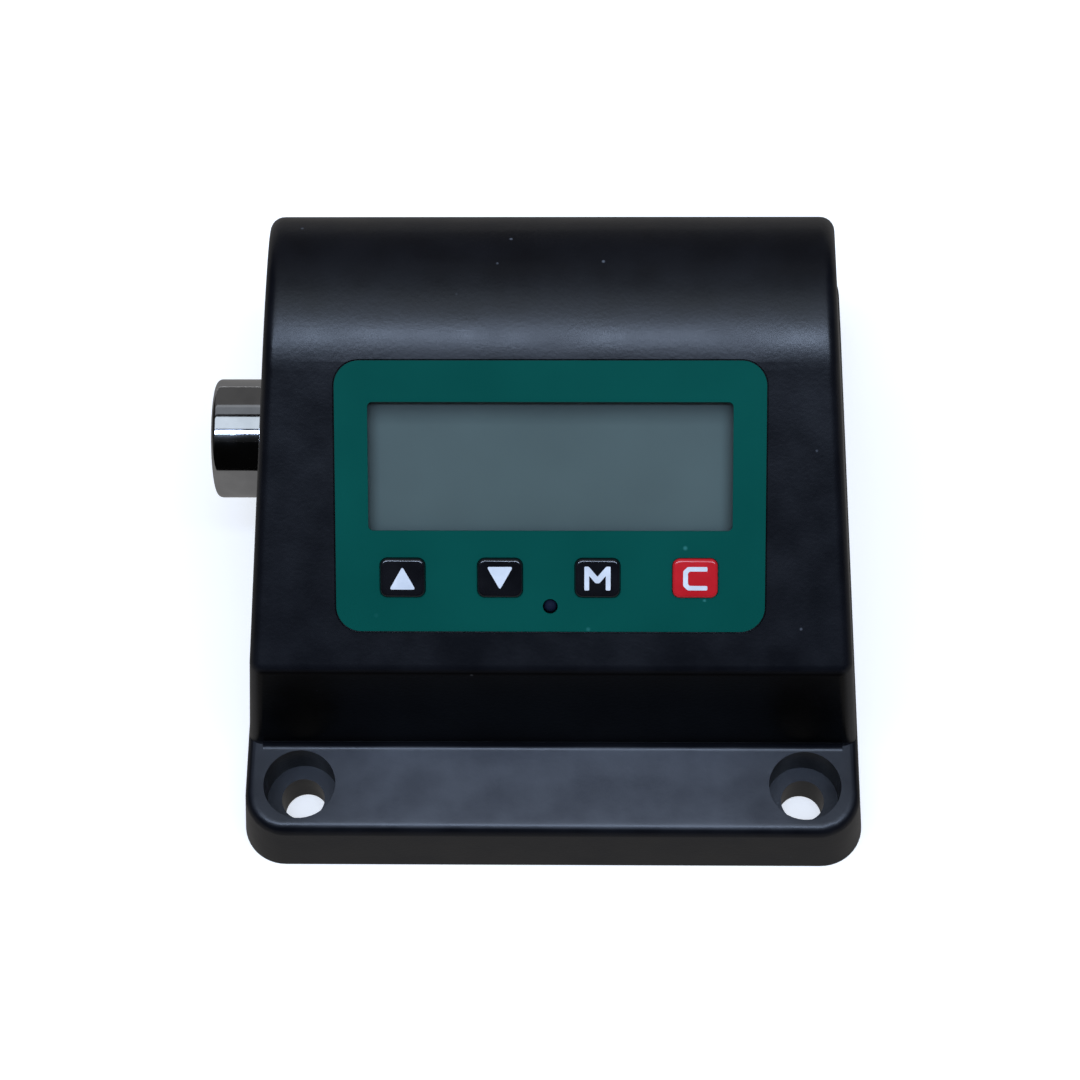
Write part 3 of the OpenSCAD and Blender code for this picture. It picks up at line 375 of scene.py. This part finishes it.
# Base cover: a plate of sheet alloy on a rubber gasket, held up in its rebate by six
# countersunk screws. It closes the casting from below.
sheet_alloy = finish_material(
    "sheet_alloy", (0.14, 0.15, 0.16), (0.2, 0.21, 0.22), (0.35, 0.5), 0.01, metallic=1.0)
seal_rubber = finish_material(
    "seal_rubber", (0.012, 0.012, 0.012), (0.02, 0.02, 0.02), (0.6, 0.8), 0.02, specular=0.3)
zinc_steel = finish_material(
    "zinc_steel", (0.42, 0.43, 0.45), (0.55, 0.55, 0.56), (0.2, 0.32), 0.006, metallic=1.0)
smooth_copy("base_cover", "base", sheet_alloy)
smooth_copy("cover_gasket", "base", seal_rubber)
smooth_copy("cover_screws", "base", zinc_steel, angle=30)

# Torsion bar and its carriers: a ground steel bar with a hexagon and a square end, two
# foil gauges, a bronze bush and two steel clamp plates with cap screws.
ground_steel = finish_material(
    "ground_steel", (0.36, 0.37, 0.39), (0.46, 0.47, 0.49), (0.22, 0.34), 0.008, metallic=1.0,
    scales=(2600.0, 90.0, 420.0))
gauge_foil = finish_material(
    "gauge_foil", (0.5, 0.3, 0.06), (0.62, 0.4, 0.1), (0.3, 0.42), 0.01)
bush_bronze = finish_material(
    "bush_bronze", (0.42, 0.27, 0.1), (0.55, 0.36, 0.14), (0.25, 0.4), 0.01, metallic=1.0)
oiled_steel = finish_material(
    "oiled_steel", (0.03, 0.03, 0.033), (0.06, 0.06, 0.065), (0.3, 0.42), 0.01, metallic=1.0)
smooth_copy("transducer", "base", ground_steel)
for node in ("gauge_top", "gauge_bottom"):
    smooth_copy(node, "base", gauge_foil)
smooth_copy("input_bush", "base", bush_bronze)
for node in ("bearing_cap", "anchor_cap"):
    smooth_copy(node, "base", ground_steel)
for node in ("bearing_cap_screws", "anchor_cap_screws"):
    smooth_copy(node, "base", oiled_steel, angle=30)

# Adapter: a turned and chromed sleeve that slides on the hexagon. Its square hole takes the
# tool, and a rubber ring in the wall of the housing wipes it.
chrome = finish_material(
    "chrome", (0.56, 0.57, 0.59), (0.68, 0.69, 0.71), (0.05, 0.1), 0.004, metallic=1.0,
    scales=(900.0, 140.0, 420.0))
smooth_copy("drive_socket", "adapter", chrome)
smooth_copy("dust_seal", "base", seal_rubber)

# Front film: green polyester with a satin face, glued into the shallow recess of the panel.
film_green = finish_material(
    "film_green", (0.0003, 0.06, 0.048), (0.0005, 0.069, 0.055), (0.4, 0.5), 0.006,
    specular=0.04, scales=(2400.0, 35.0, 260.0), speck=(0.05, 0.25, 0.24))
smooth_copy("front_overlay", "base", film_green)

# Display: a clear lens in the film's window, the grey-green display glass behind it, and the
# white light box that carries the glass on the circuit board.
display_grey = finish_material(
    "display_grey", (0.112, 0.162, 0.158), (0.124, 0.178, 0.175), (0.3, 0.36), 0.002,
    scales=(2600.0, 22.0, 420.0))
# Painted shadow: the glass is darkened towards its edges, most of all at its top, as if shaded by
# the film's rim
nodes, links = display_grey.node_tree.nodes, display_grey.node_tree.links
shader = next(n for n in nodes if n.type == "BSDF_PRINCIPLED")
spot = nodes.new("ShaderNodeTexCoord")
up_slope = nodes.new("ShaderNodeVectorMath")
up_slope.operation = "DOT_PRODUCT"
up_slope.inputs[1].default_value = (0, math.cos(PANEL_SLOPE), math.sin(PANEL_SLOPE))
links.new(spot.outputs["Object"], up_slope.inputs[0])
axes = nodes.new("ShaderNodeSeparateXYZ")
links.new(spot.outputs["Object"], axes.inputs[0])
side = computed(nodes, links, "ABSOLUTE", axes.outputs["X"], 0)
lit = ranged(nodes, links, up_slope.outputs["Value"], 0.0437, 0.0385, 0.22, 1)
for value, low, high, dark in ((up_slope.outputs["Value"], 0.0174, 0.0188, 0.85),
                               (side, 0.0364, 0.0338, 0.55)):
    lit = computed(nodes, links, "MULTIPLY", lit, ranged(nodes, links, value, low, high, dark, 1))
shade = nodes.new("ShaderNodeMix")
shade.data_type = "RGBA"
shade.inputs["A"].default_value = (0.01, 0.016, 0.018, 1)
links.new(shader.inputs["Base Color"].links[0].from_socket, shade.inputs["B"])
links.new(lit, shade.inputs["Factor"])
links.new(shade.outputs["Result"], shader.inputs["Base Color"])
lens_clear, nodes, links = blank_material("lens_clear")
shader = nodes.new("ShaderNodeBsdfPrincipled")
shader.inputs["Base Color"].default_value = (0.02, 0.022, 0.022, 1)
shader.inputs["Specular IOR Level"].default_value = 0.6
smear = nodes.new("ShaderNodeTexNoise")
smear.inputs["Scale"].default_value = 45
spot = nodes.new("ShaderNodeTexCoord")
links.new(spot.outputs["Object"], smear.inputs["Vector"])
for label, least, most in (("Roughness", 0.05, 0.16), ("Alpha", 0.1, 0.14)):
    links.new(ranged(nodes, links, smear.outputs["Fac"], 0.35, 0.7, least, most),
              shader.inputs[label])
out = nodes.new("ShaderNodeOutputMaterial")
links.new(shader.outputs[0], out.inputs["Surface"])
light_box = finish_material(
    "light_box", (0.7, 0.7, 0.68), (0.8, 0.8, 0.78), (0.45, 0.55), 0.01)
smooth_copy("display_lens", "base", lens_clear)
smooth_copy("lcd_glass", "base", display_grey)
smooth_copy("backlight", "base", light_box)

# Keys: moulded caps with a rolled upper edge, three black and one red. Each rides with the
# plunger of the small switch under it.
key_black = finish_material(
    "key_black", (0.0035, 0.0036, 0.005), (0.006, 0.006, 0.008), (0.16, 0.22), 0.004,
    specular=0.6, coat=0.35, scales=(2200.0, 120.0, 420.0))
key_red = finish_material(
    "key_red", (0.46, 0.008, 0.014), (0.54, 0.012, 0.02), (0.18, 0.24), 0.004,
    specular=0.5, coat=0.3, scales=(2200.0, 120.0, 420.0))
black_plastic = finish_material(
    "black_plastic", (0.014, 0.014, 0.016), (0.024, 0.024, 0.027), (0.4, 0.52), 0.015)
switch_steel = finish_material(
    "switch_steel", (0.3, 0.31, 0.32), (0.4, 0.41, 0.42), (0.25, 0.35), 0.008, metallic=1.0)
keys = (("up", key_black, "key_black"), ("down", key_black, "key_black"),
        ("mode", key_black, "key_black"), ("clear", key_red, "key_red"))
for key, material, slot_name in keys:
    smooth_copy("button_" + key, "key_" + key, material, angle=35)
    smooth_copy("plunger_" + key, "key_" + key, black_plastic)
    smooth_copy("switch_" + key, "base", switch_steel)

# Key marks: white prints in the middle of the caps, an up and a down arrowhead, an M and a C.
# Each is a flat form with rounded corners, a hair thicker than the cap's face.
print_white = finish_material(
    "print_white", (0.56, 0.6, 0.66), (0.66, 0.7, 0.76), (0.35, 0.45), 0.002,
    scales=(2400.0, 300.0, 420.0))
PANEL_EDGE_MM = (0, -46.3165, 48)
KEY_LINE_MM = 19.1
PRINT_LOW_MM, PRINT_HIGH_MM = 0.62, 0.725
panel_place = (Matrix.Translation(Vector(PANEL_EDGE_MM) * MM)
               @ Matrix.Rotation(PANEL_SLOPE, 4, "X"))
marks = (
    ("up", -29.4, 0.5, ((-2.6, -2.3), (2.6, -2.3), (0, 2.3))),
    ("down", -10.0, 0.5, ((-2.6, 2.3), (0, -2.3), (2.6, 2.3))),
    ("mode", 9.4, 0.22, (
        (-2.6, -2.4), (-1.65, -2.4), (-1.65, 0.55), (-0.4, -0.95), (0.4, -0.95), (1.65, 0.55),
        (1.65, -2.4), (2.6, -2.4), (2.6, 2.4), (1.75, 2.4), (0, 0.35), (-1.75, 2.4), (-2.6, 2.4))),
    ("clear", 28.8, 0.22, (
        (2.4, 2.35), (-1.5, 2.35), (-2.4, 1.5), (-2.4, -1.5), (-1.5, -2.35), (2.4, -2.35),
        (2.4, -1.45), (-1.1, -1.45), (-1.45, -1.1), (-1.45, 1.1), (-1.1, 1.45), (2.4, 1.45))))
for key, across, corner, outline in marks:
    shape = bmesh.new()
    bmesh.ops.create_circle(shape, segments=len(outline), radius=1, cap_ends=True)
    turns = sorted(shape.verts, key=lambda v: v.index)
    for vert, (x, y) in zip(turns, outline):
        vert.co = (x, y, 0)
    bmesh.ops.bevel(shape, geom=list(shape.verts), offset=corner, affect="VERTICES", segments=4,
                    profile=0.5, material=-1)
    grown = bmesh.ops.extrude_face_region(shape, geom=list(shape.faces), use_keep_orig=True)
    raised = [item for item in grown["geom"] if isinstance(item, bmesh.types.BMVert)]
    bmesh.ops.translate(shape, vec=(0, 0, PRINT_HIGH_MM - PRINT_LOW_MM), verts=raised)
    bmesh.ops.translate(shape, vec=(across, KEY_LINE_MM, PRINT_LOW_MM), verts=shape.verts)
    bmesh.ops.scale(shape, vec=(MM, MM, MM), verts=shape.verts)
    bmesh.ops.transform(shape, matrix=panel_place, verts=shape.verts)
    bmesh.ops.recalc_face_normals(shape, faces=shape.faces)
    mesh = bpy.data.meshes.new("mark_" + key)
    shape.to_mesh(mesh)
    shape.free()
    mesh.materials.append(print_white)
    mark = bpy.data.objects.new("mark_" + key, mesh)
    link(mark)
    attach(mark, "key_" + key)

# Lamp: a small dark dome in the film, on two legs from the board.
lamp_navy = finish_material(
    "lamp_navy", (0.006, 0.009, 0.022), (0.009, 0.013, 0.028), (0.55, 0.65), 0.002,
    specular=0.04, scales=(2000.0, 200.0, 420.0))
smooth_copy("indicator_led", "base", lamp_navy)

# Circuit board: green lacquered glass fibre with its chips, buzzer, plugs and leads.
board_green = finish_material(
    "board_green", (0.008, 0.1, 0.034), (0.012, 0.14, 0.05), (0.28, 0.38), 0.01)
plug_ivory = finish_material(
    "plug_ivory", (0.62, 0.58, 0.44), (0.72, 0.68, 0.54), (0.4, 0.5), 0.01)
lead_sheath = finish_material(
    "lead_sheath", (0.02, 0.02, 0.02), (0.035, 0.035, 0.035), (0.45, 0.6), 0.01)
smooth_copy("main_board", "base", board_green)
smooth_copy("board_screws", "base", zinc_steel, angle=30)
for node in ("processor_chip", "amplifier_chip", "buzzer"):
    smooth_copy(node, "base", black_plastic)
for node in ("gauge_connector", "power_connector"):
    smooth_copy(node, "base", plug_ivory)
for node in ("gauge_lead", "battery_lead"):
    smooth_copy(node, "base", lead_sheath)

# Battery space: a black tray behind the rear wall with three cells in series, nickel plates
# at their nubs and springs at their flat ends.
cell_jacket = finish_material(
    "cell_jacket", (0.32, 0.16, 0.02), (0.42, 0.22, 0.04), (0.2, 0.3), 0.003, coat=0.3)
nodes, links = cell_jacket.node_tree.nodes, cell_jacket.node_tree.links
shader = next(n for n in nodes if n.type == "BSDF_PRINCIPLED")
facing = nodes.new("ShaderNodeNewGeometry")
axes = nodes.new("ShaderNodeSeparateXYZ")
links.new(facing.outputs["Normal"], axes.inputs[0])
endwise = computed(nodes, links, "ABSOLUTE", axes.outputs["X"], 0)
cell_end = ranged(nodes, links, endwise, 0.8, 0.9)
bare = nodes.new("ShaderNodeMix")
bare.data_type = "RGBA"
bare.inputs["B"].default_value = (0.5, 0.5, 0.48, 1)
links.new(shader.inputs["Base Color"].links[0].from_socket, bare.inputs["A"])
links.new(cell_end, bare.inputs["Factor"])
links.new(bare.outputs["Result"], shader.inputs["Base Color"])
links.new(cell_end, shader.inputs["Metallic"])
nickel = finish_material(
    "nickel", (0.5, 0.5, 0.47), (0.62, 0.61, 0.58), (0.15, 0.28), 0.004, metallic=1.0)
smooth_copy("battery_holder", "base", black_plastic)
smooth_copy("holder_screws", "base", zinc_steel, angle=30)
for node in ("battery_1", "battery_2", "battery_3"):
    smooth_copy(node, "base", cell_jacket)
smooth_copy("contact_plates", "base", nickel)
smooth_copy("contact_springs", "base", nickel)

# Battery lid: a moulded plate that swings out on two pins in its lower corners.
lid_black = finish_material(
    "lid_black", (0.0035, 0.0037, 0.005), (0.006, 0.0062, 0.008), (0.38, 0.48), 0.02,
    specular=0.4, scales=(1500.0, 60.0, 380.0))
smooth_copy("battery_door", "lid", lid_black)
